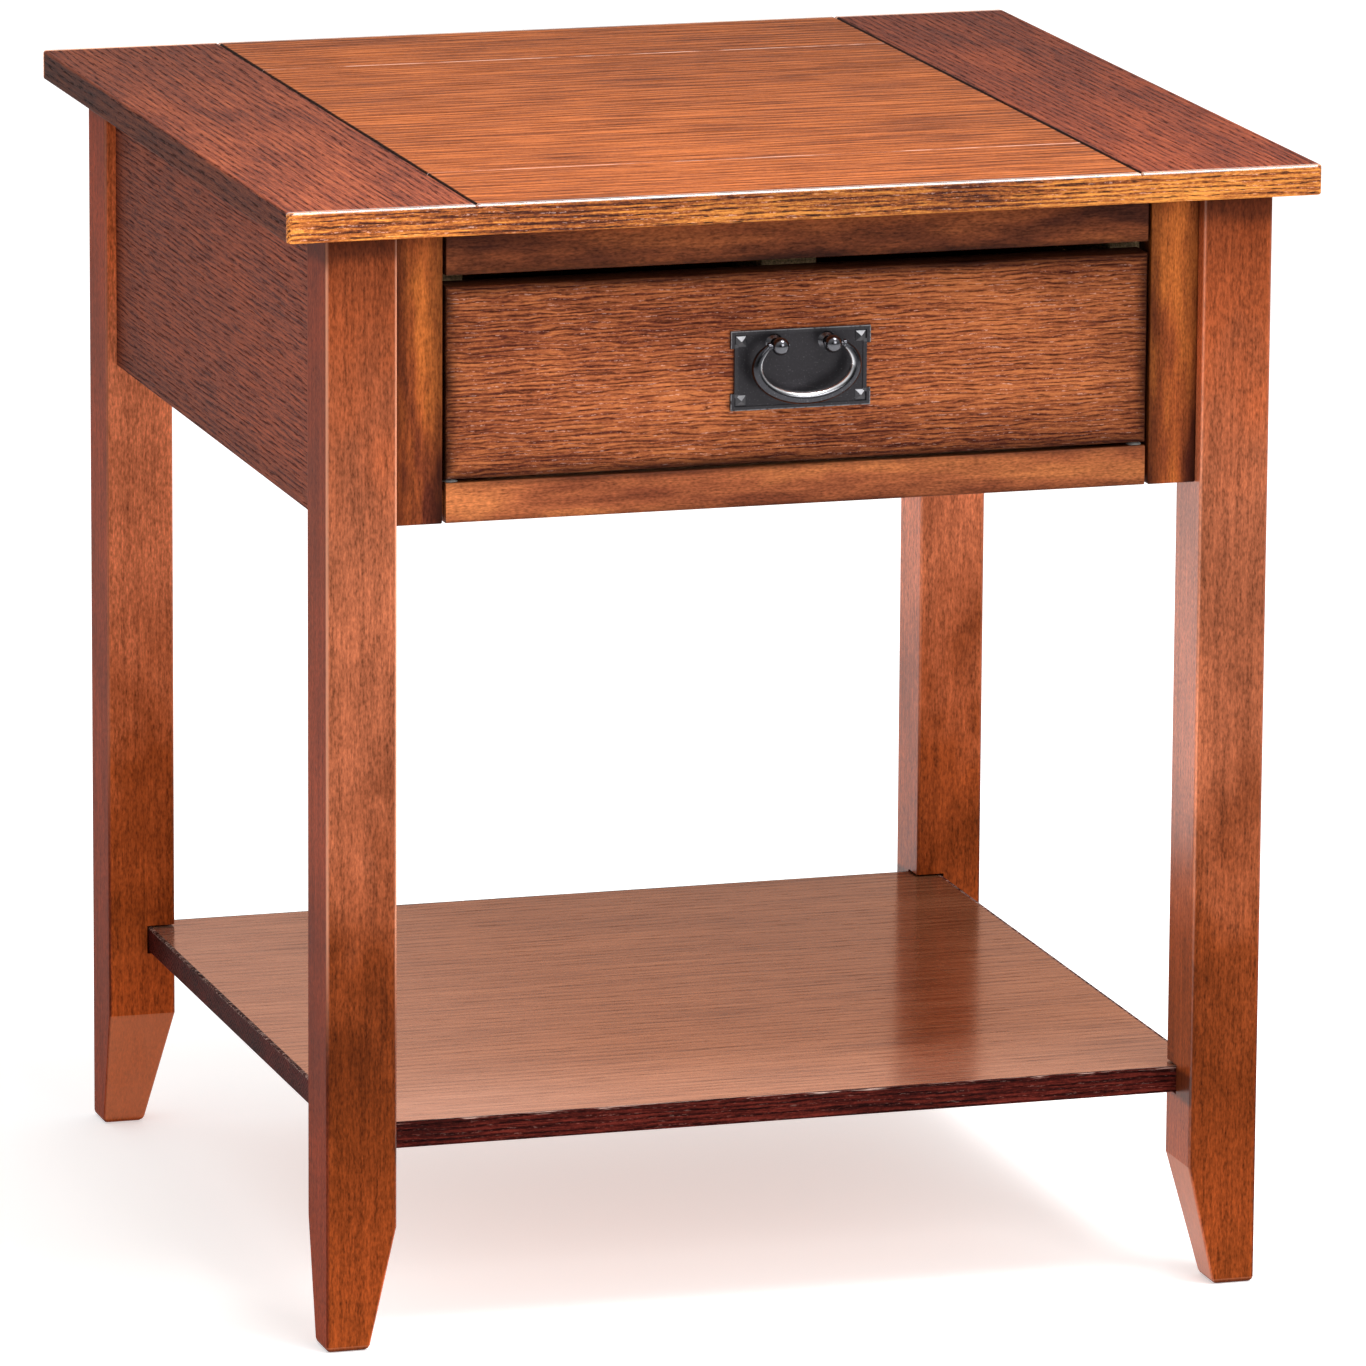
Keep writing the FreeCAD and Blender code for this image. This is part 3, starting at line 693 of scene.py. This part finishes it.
# %% [markdown]
# ## Which way a leg's surface looks
#
# Each leg has different sides: the two that look across the table are lacquered and painted paler,
# as painted light, the outer ones are painted darker and redder, as painted shade, and the sloping
# faces of the foot get painted light. They could be painted face by face. Reading which way the
# surface looks gives the same masks for all four legs at once.

# %% Masks for the sides of a leg
SIDE_LIMITS = (0.03, 0.12)
SLOPE_LIMITS = (0.12, 0.25)
FOOT_TOP = (0.07, 0.064)
FOOT_BOTTOM = (0.0015, 0.004)


def leg_sides(f):
    """Two masks: the sides of the legs that look across the table, and the outer sides."""
    outward = f.split(f.facing)[0] * f.x
    return f.step(-outward, *SIDE_LIMITS), f.step(outward, *SIDE_LIMITS)


def tapered_faces(f):
    """1 on the sloping faces of the feet, which look a little downward."""
    sloping = f.step(-f.split(f.facing)[2], *SLOPE_LIMITS)
    return sloping * f.step(f.z, *FOOT_TOP) * f.step(f.z, *FOOT_BOTTOM)


print("the feet taper below", in_mm(FOOT_TOP[0]), "mm")

# %% [markdown]
# ## Highlights, dark edges and shade on a leg
#
# Above the shelf the arrises of the legs get a pale painted highlight. Below it they are made dark,
# and so is the rim of the sole. The corners under the top get painted shade, and glaze stays around
# the shelf. A pointiness node would find such edges in any mesh, but only in renders. Distances from
# the part's own box give them outside renders too.

# %% Painted arris highlights, dark edges and painted shade
# Pale colour of the painted highlight on the arrises above the shelf.
PAINTED_ARRIS_HIGHLIGHT = colour(0.90, 0.42, 0.26)
# Dark colour for the lower arrises and the sole, the glaze at the shelf, and the painted shade under
# the top.
DARK_GLAZE_AND_SHADE = colour(0.02, 0.006, 0.004)
ARRIS_REACH = 0.0019
ABOVE_SHELF = (0.14, 0.24)
SOLE_RIM = (0.001, 0.004)
UNDER_TOP_REACH = 0.010
NEAR_SHELF = (0.008, 0.012)
RING_ABOVE_UNDERSIDE = 0.006
shelf_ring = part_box("shelf_board")[0].z + RING_ABOVE_UNDERSIDE


def arris_highlights_and_dark_edges(f, name, wood, arris_highlight):
    """A painted highlight on the arrises above the shelf; dark arrises below it and at the sole."""
    arris = edge_shade(f, name, ARRIS_REACH, "X") * edge_shade(f, name, ARRIS_REACH, "Y")
    above_shelf = f.step(f.z, *ABOVE_SHELF)
    sole = 1 - f.step(f.z, *SOLE_RIM)
    dark_edges = (1 - above_shelf) * arris.at_least(sole)
    wood = f.mix(arris * above_shelf * arris_highlight, wood, PAINTED_ARRIS_HIGHLIGHT)
    return f.mix(dark_edges * 0.6, wood, DARK_GLAZE_AND_SHADE)


def shade_and_joint_glaze(f, clouds, inner, leg_top):
    """Painted shade under the top, and glaze on the inner sides where the shelf meets the leg."""
    under_top = f.step(f.z + clouds * 0.02, leg_top - UNDER_TOP_REACH, leg_top)
    near_shelf = 1 - f.step(abs(f.z - shelf_ring) + clouds * 0.004, *NEAR_SHELF)
    return (under_top * 0.6).at_least(near_shelf * inner * 0.7)


print("a ring of glaze lies", in_mm(shelf_ring), "mm above the floor, at the shelf")

# %% [markdown]
# ## The legs
#
# Down a leg the stain changes: dark at the foot, darkest where the shelf meets it, and pale in the
# middle. Under the top it is darker again, which is painted shade. A ramp read along the leg's
# height gives this, and clouds added to the height keep its borders from being level lines.
# `LEG_LOOKS` holds what differs from leg to leg: how pale it is, how much lacquer its inner sides
# have, and how strong the painted highlight on its arrises is.

# %% Legs
LEG_STAIN_AND_SHADE = [
    (0.00, (0.26, 0.050, 0.009)),
    (0.07, (0.26, 0.048, 0.009)),
    (0.20, (0.15, 0.028, 0.005)),
    (0.33, (0.20, 0.040, 0.009)),
    (0.52, (0.33, 0.092, 0.040)),
    (0.72, (0.34, 0.098, 0.044)),
    (0.88, (0.33, 0.074, 0.024)),
    # The last step, under the top, is painted shade.
    (1.00, (0.20, 0.040, 0.011)),
]
LEG_LOOKS = {
    "front_left_leg": (1.0, 0.7, 0.75),
    "front_right_leg": (0.95, 0.7, 0.25),
    "rear_left_leg": (1.8, 0.4, 0.25),
    "rear_right_leg": (1.35, 0.4, 0.25),
}
# The outer sides get a darker, redder colour as painted shade, and the sloping faces of the feet a
# paler one as painted light.
OUTER_SIDE_SHADE_COLOUR = colour(0.40, 0.062, 0.024)
PAINTED_FOOT_LIGHT = colour(0.50, 0.17, 0.085)
OUTER_SIDE_SHADE_LEVEL = 0.62
LEG_CLOUD_SIZE = (1 / 12, 1 / 18)
LEG_LACQUER = {"Specular IOR Level": 0.03, "Coat Roughness": 0.25}


def leg_wood(name, seed, paleness, lacquer, arris_highlight):
    """Stain and painted shade by height, painted light and shade on the sides, then painted arris
    highlights and dark edges, painted light on the sloping faces of the foot, and painted shade and
    glaze in the corners.
    """
    low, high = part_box(name)
    f = Finish(name + "_wood", LEG_LACQUER)
    clouds = f.noise(stretched("Z", *LEG_CLOUD_SIZE), seed, 3.0, 0.6)
    height = f.z / (high.z - low.z) + (clouds - 0.5) * 0.35
    shade, grain = fleck_shade(f, "Z", seed)
    inner, outer = leg_sides(f)
    # Painted light and shade: the inner sides are made paler, the outer sides darker and redder.
    faces = paleness + inner * 0.8 + outer * (OUTER_SIDE_SHADE_LEVEL - paleness)
    stain = f.mix(outer * 0.7, f.ramp(height, LEG_STAIN_AND_SHADE), OUTER_SIDE_SHADE_COLOUR)
    wood = shaded(f, stain, shade * (0.30 + clouds * 1.28) * faces)
    wood = arris_highlights_and_dark_edges(f, name, wood, arris_highlight)
    # Painted light on the sloping faces of the feet.
    wood = f.mix(tapered_faces(f) * (0.3 + clouds * 0.8), wood, PAINTED_FOOT_LIGHT)
    wood = f.mix(shade_and_joint_glaze(f, clouds, inner, high.z), wood, DARK_GLAZE_AND_SHADE)
    return f.finish(wood, 0.5 + clouds * 0.1, grain, CLOSE_GRAIN_DEPTH, inner * lacquer)


for number, (name, look) in enumerate(LEG_LOOKS.items()):
    paint([name], leg_wood(name, 100 + number * 5.3, *look))
print(len(LEG_LOOKS), "legs are stained in", len(LEG_STAIN_AND_SHADE), "steps of height")

# %% [markdown]
# ## The front frame
#
# Two stiles and two rails frame the drawer, in the same close-grained wood as the legs. They could
# have a ramp along their length, as a leg has, but their stain changes only softly, so clouds choose
# it. Glaze lies in the joints along their long edges, and on the stiles this dark band is partly
# painted shade, where they sit back from the legs. The bottom rail also darkens to the right, as
# painted shade, which takes one more multiplication.

# %% Stiles and rails
STILE_STAIN = ((0.38, 0.100, 0.020), (0.25, 0.057, 0.014), (0.09, 0.018, 0.008))
TOP_RAIL_STAIN = ((0.19, 0.054, 0.018), (0.12, 0.032, 0.012), (0.045, 0.012, 0.006))
BOTTOM_RAIL_STAIN = ((0.39, 0.122, 0.040), (0.27, 0.075, 0.028), (0.155, 0.039, 0.016))
FRAME_CLOUD_SIZE = (0.1, 0.025)
STILE_GLAZE_REACH = 0.011
RAIL_GLAZE_REACH = 0.004


def close_grained(name, along, stain, seed, glaze=None, slope=0.0):
    """Close-grained wood.  slope says how fast it darkens towards the right, per metre, as painted
    shade.
    """
    f = Finish(name, {"Specular IOR Level": 0.05})
    light, middle, dark = stain
    clouds = f.noise(stretched(along, *FRAME_CLOUD_SIZE), seed, 3.0, 0.6)
    shade, grain = fleck_shade(f, along, seed)
    wood = f.ramp(clouds, [(0.36, dark), (0.5, middle), (0.62, light)])
    wood = shaded(f, wood, shade * (1 - f.x * slope))
    if glaze is not None:
        wood = f.mix(glaze(f, clouds), wood, tinted(dark, 0.2))
    return f.finish(wood, 0.45 + clouds * 0.12, grain, CLOSE_GRAIN_DEPTH)


for number, name in enumerate(("front_left_stile", "front_right_stile")):
    # On the stiles the dark edges are partly glaze and partly painted shade, where they sit back
    # from the legs.
    stile_glaze_and_shade = glaze_and_shade_at_edges(name, STILE_GLAZE_REACH, "X", least=1.25, with_clouds=-1.0)
    wood = close_grained(name + "_wood", "Z", STILE_STAIN, 130 + number * 3.3, stile_glaze_and_shade)
    paint([name], wood)
top_glaze = glaze_and_shade_at_edges("front_top_rail", RAIL_GLAZE_REACH, "Z", least=1.0, with_clouds=-1.0)
top_rail_wood = close_grained("top_rail_wood", "X", TOP_RAIL_STAIN, 140.0, top_glaze)
paint(["front_top_rail"], top_rail_wood)
low_glaze = glaze_and_shade_at_edges("front_bottom_rail", RAIL_GLAZE_REACH, "Z", least=1.0, with_clouds=-1.0)
# The bottom rail's darkening to the right is painted shade.
bottom_rail_wood = close_grained("bottom_rail_wood", "X", BOTTOM_RAIL_STAIN, 143.3, low_glaze,
                                 slope=1.1)
paint(["front_bottom_rail"], bottom_rail_wood)
print("the frame's glaze reaches", in_mm(STILE_GLAZE_REACH), "mm into the stiles")

# %% [markdown]
# ## Raw wood inside
#
# What can't be seen from outside was left without stain: the runners, guides, kickers, stops and
# corner blocks, and the drawer's box. It is the same kind of wood, so the same function makes it
# from a pale stain. One material serves all these parts, since nobody compares their grain.

# %% Raw wood
RAW_STAIN = ((0.60, 0.43, 0.25), (0.55, 0.385, 0.215), (0.49, 0.335, 0.18))
RAW_ENDINGS = ("_runner", "_guide", "_kicker", "_corner_block")
raw_parts = [name for name in nodes if name.endswith(RAW_ENDINGS)]
raw_parts += ["open_stop_block", "closed_stops", "drawer_stop_button"]
raw_parts += ["drawer_left_side", "drawer_right_side", "drawer_back", "drawer_bottom"]
paint(raw_parts, close_grained("raw_wood", "Y", RAW_STAIN, seed=160))
print(len(raw_parts), "parts are left raw")

# %% [markdown]
# ## Metal
#
# The pull is iron, blackened and waxed, and the screws and pins are steel. Metal in a home is never
# quite even: it has a soft mottle and a few bare specks, and it shows worn metal where it stands
# proud. Hammered iron could be sculpted, but at this size a bump of some thousandths of a millimetre
# is enough. `lightened` is a function of the finish that says where the metal gets a lighter colour:
# wear on the plate, and painted highlights on the plate and the bail.

# %% Metal
MOTTLE_SCALE = (700.0, 700.0, 700.0)
SPECK_SCALE = (1500.0, 1500.0, 1500.0)
SPECK_LIMITS = (0.68, 0.74)
MOTTLE_DEPTH = 0.000006


def metal(name, base, roughness, metallic=1.0, lightened=None, wear_and_highlight_colour=(0.3, 0.3, 0.32)):
    """Mottled metal with a few specks. Where lightened says so it takes wear_and_highlight_colour,
    for wear and for painted highlights.
    """
    f = Finish(name, {"Specular IOR Level": 0.4})
    mottle = f.noise(MOTTLE_SCALE, 3.0, 3.0, 0.7)
    specks = f.step(f.noise(SPECK_SCALE, 5.0, 1.0), *SPECK_LIMITS)
    surface = f.mix(mottle, tinted(base, 0.75), tinted(base, 1.25))
    surface = f.mix(specks * 0.2, surface, colour(*wear_and_highlight_colour))
    if lightened is not None:
        surface = f.mix(lightened(f, mottle), surface, colour(*wear_and_highlight_colour))
    return f.finish(surface, roughness + mottle * 0.08, mottle, MOTTLE_DEPTH, 0.0, metallic)


print("the mottle of metal is about", in_mm(1 / MOTTLE_SCALE[0]), "mm wide")

# %% [markdown]
# ## The plate of the pull
#
# The plate is nearly black and soft in its shine. Where something stands proud of it, it is lighter
# grey: its pyramids and rim are a little worn, and the upper facets of its four small pyramids and
# its outer arris get a painted highlight. Its shape is in the mesh already, so the masks need only
# the places of the pyramids, measured in from the corners of the plate, and the height of its flat
# field.

# %% Plate
PYRAMID_HALF = 0.0031
PYRAMID_INSET = 0.0054
PYRAMID_HEIGHT = 0.002
RAISED_LIMITS = (-0.0004, -0.0001)
UPPER_FACETS = (0.15, 0.35)
PLATE_ARRIS_REACH = 0.0007
ARRIS_BREAKS = (0.35, 0.50)
plate_low, plate_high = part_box("handle_backplate")


def pyramid_mask(f):
    """1 within the square foot of each of the four pyramids."""
    middle_x, middle_z = ((plate_low[n] + plate_high[n]) / 2 for n in (0, 2))
    reach_x, reach_z = ((plate_high[n] - plate_low[n]) / 2 - PYRAMID_INSET for n in (0, 2))
    away_x = abs(abs(f.x - middle_x) - reach_x)
    away_z = abs(abs(f.z - middle_z) - reach_z)
    return 1 - f.step(away_x.at_least(away_z), PYRAMID_HALF, PYRAMID_HALF * 1.1)


def wear_and_highlights(f, mottle):
    """Where the plate is lighter: its pyramids and rim are a little worn, and the pyramids' upper
    facets and the outer arris get a painted highlight.
    """
    field = plate_low.y + PYRAMID_HEIGHT
    raised = 1 - f.step(f.y - field, *RAISED_LIMITS)
    pyramids = pyramid_mask(f)
    # Painted highlight on the facets that look upward.
    upper_facets = f.step(f.split(f.facing)[2], *UPPER_FACETS)
    arris = edge_shade(f, "handle_backplate", PLATE_ARRIS_REACH, "XZ")
    plate_arris_highlight = arris * f.step(mottle, *ARRIS_BREAKS) * 0.5
    pyramid_wear_and_highlight = pyramids * (0.10 + upper_facets * 0.6)
    return raised * (pyramid_wear_and_highlight + (1 - pyramids) * (mottle * 0.03 + plate_arris_highlight))


plate_iron = metal("blackened_plate", (0.020, 0.018, 0.021), 0.30, 0.6, wear_and_highlights,
                   wear_and_highlight_colour=(0.40, 0.40, 0.42))
paint(["handle_backplate"], plate_iron)
print("the plate is", in_mm(plate_high.x - plate_low.x), "mm wide")

# %% [markdown]
# ## The bail and its posts
#
# The swinging bail and the ball posts are handled every day, so they are polished: dark metal that
# throws back small bright lights. The inner side of the bail gets a painted highlight, a bright
# colour as if it mirrored the lamps. That side could be picked face by face. The surface's direction
# compared with the direction to the middle of the bail gives it smoothly, and it swings with the
# bail.

# %% Bail and posts
INNER_SIDE = (0.30, 0.78)
bail_low, bail_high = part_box("handle_bail")


def painted_bail_highlight(f, mottle):
    """Painted highlight: 1 where the surface of the bail looks towards the middle, between the
    posts.
    """
    facing_x, _, facing_z = f.split(f.facing)
    to_x = (bail_low.x + bail_high.x) / 2 - f.x
    to_z = bail_high.z - f.z
    distance = (to_x * to_x + to_z * to_z) ** 0.5
    inward = (facing_x * to_x + facing_z * to_z) / distance
    return f.step(inward + mottle * 0.1, *INNER_SIDE)


post_iron = metal("polished_iron", (0.11, 0.11, 0.12), 0.15)
# The bail's inner side takes a bright colour: a painted highlight.
bail_iron = metal("bail_iron", (0.05, 0.05, 0.056), 0.14, 1.0, painted_bail_highlight,
                  wear_and_highlight_colour=(0.8, 0.8, 0.82))
paint(["handle_left_post", "handle_right_post"], post_iron)
paint(["handle_bail"], bail_iron)
print("the bail is", in_mm(bail_high.x - bail_low.x), "mm wide")

# %% [markdown]
# ## Steel and nylon
#
# The screws and the shelf's pins are bright steel, and the glides that the drawer runs over are
# white nylon. Nylon isn't a metal, but a moulded glide has the same faint mottle, so the same
# function makes it with its metal turned off.

# %% Steel and nylon
steel = metal("steel", (0.5, 0.5, 0.48), 0.3)
nylon = metal("nylon", (0.6, 0.6, 0.58), 0.35, 0.0, wear_and_highlight_colour=(0.7, 0.7, 0.68))
paint(["handle_screws", "corner_screws", "top_screws", "shelf_pins"], steel)
paint(["drawer_glides"], nylon)
print(len(bpy.data.materials), "materials, with the plain ones that the parts came in")

# %% [markdown]
# ## The floor
#
# A table needs something to stand on, and a plain pale floor shows its outline best. A large sheet
# of paper curved up behind would do as well, but then the bend has to be hidden. Here the floor is
# a square far larger than the picture, and it glows a little, so that it stays pale and the shadow
# of the table on it stays faint.

# %% Floor
FLOOR_SIZE = 40.0
FLOOR_GREY = colour(0.78, 0.78, 0.78)
FLOOR_GLOW = {"Specular IOR Level": 0.1, "Emission Color": colour(1.0, 1.0, 1.0),
              "Emission Strength": 0.5}

half = FLOOR_SIZE / 2
corners = [(-half, -half, 0), (half, -half, 0), (half, half, 0), (-half, half, 0)]
floor_mesh = bpy.data.meshes.new("floor")
floor_mesh.from_pydata(corners, [], [(0, 1, 2, 3)])
floor = bpy.data.objects.new("floor", floor_mesh)
bpy.context.scene.collection.objects.link(floor)
floor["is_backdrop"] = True
floor_mesh.materials.append(Finish("pale_floor", FLOOR_GLOW).finish(FLOOR_GREY, 0.8))
print("the floor is", FLOOR_SIZE, "m across")

# %% [markdown]
# ## Lamps
#
# Two large soft lamps light the table: one overhead, a little to the right, which gives the top
# its sheen, and one in front, which reaches under the top. Small lamps would draw hard shadows. A
# sun lamp would light the table as hard as daylight, and lacquer and iron need broad soft lights.

# %% Lamps
def soft_light(name, place, target, width, height, power):
    """A rectangular lamp that looks from place to target."""
    data = bpy.data.lights.new(name, "AREA")
    data.shape = "RECTANGLE"
    data.size = width
    data.size_y = height
    data.energy = power
    light = bpy.data.objects.new(name, data)
    aim = (Vector(target) - Vector(place)).to_track_quat("-Z", "Y")
    light.matrix_world = Matrix.Translation(place) @ aim.to_matrix().to_4x4()
    light.visible_camera = False
    bpy.context.scene.collection.objects.link(light)


soft_light("overhead", (0.7, -0.8, 2.9), (0, -0.1, 0.5), width=1.1, height=1.1, power=70.0)
soft_light("front", (0.9, -3.6, 2.2), (0, 0, 0.35), width=1.8, height=1.6, power=60.0)
print(len(bpy.data.lights), "lamps")

# %% [markdown]
# ## What the lacquer mirrors
#
# Lacquer and iron show the room around them, so the room matters even if it isn't seen. It is white
# behind the table, which the shelf mirrors. It is darker in front, so that the wood facing us keeps
# its depth, and darker low down than high up. A picture of a real studio would bring things to
# reflect that don't belong here, so the walls are a ramp and two soft steps instead. The camera
# alone sees an even pale backdrop.

# %% Studio walls
FLOOR_LEVEL_GREY = (0.35, 0.35, 0.35)
CEILING_GREY = (0.8, 0.8, 0.8)
FRONT_WALL = (-0.95, -0.55)
FRONT_WALL_SHARE = 0.12
REAR_WALL = (0.3, 0.8)
BLACK = colour(0.0, 0.0, 0.0)
WHITE = colour(1.0, 1.0, 1.0)
BACKDROP = colour(0.95, 0.95, 0.95)

world = bpy.data.worlds.new("studio")
world.use_nodes = True
sky = Web(world.node_tree)
_, to_back, upward = sky.split(sky.add("ShaderNodeTexCoord", output="Generated"))
walls = sky.ramp(upward, [(0.25, FLOOR_LEVEL_GREY), (0.75, CEILING_GREY)])
dimmed = sky.step(to_back, *FRONT_WALL) * (1 - FRONT_WALL_SHARE) + FRONT_WALL_SHARE
walls = sky.mix(dimmed, BLACK, walls)
walls = sky.mix(sky.step(to_back, *REAR_WALL), walls, WHITE)
seen = sky.add("ShaderNodeLightPath", output="Is Camera Ray")
sky.feed(world.node_tree.nodes["Background"].inputs["Color"], sky.mix(seen, walls, BACKDROP))
bpy.context.scene.world = world
bpy.context.scene.view_settings.view_transform = "Standard"
print("the sky has", len(world.node_tree.nodes), "nodes")

# %% [markdown]
# ## Measure the table as shown
#
# Last comes the box of the table as it is shown. It should agree with the box of the parts printed
# at the start, because only the surfaces were changed.

# %% Print the size as shown
print("as shown it measures", [in_mm(b - a) for a, b in zip(*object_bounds())], "mm")
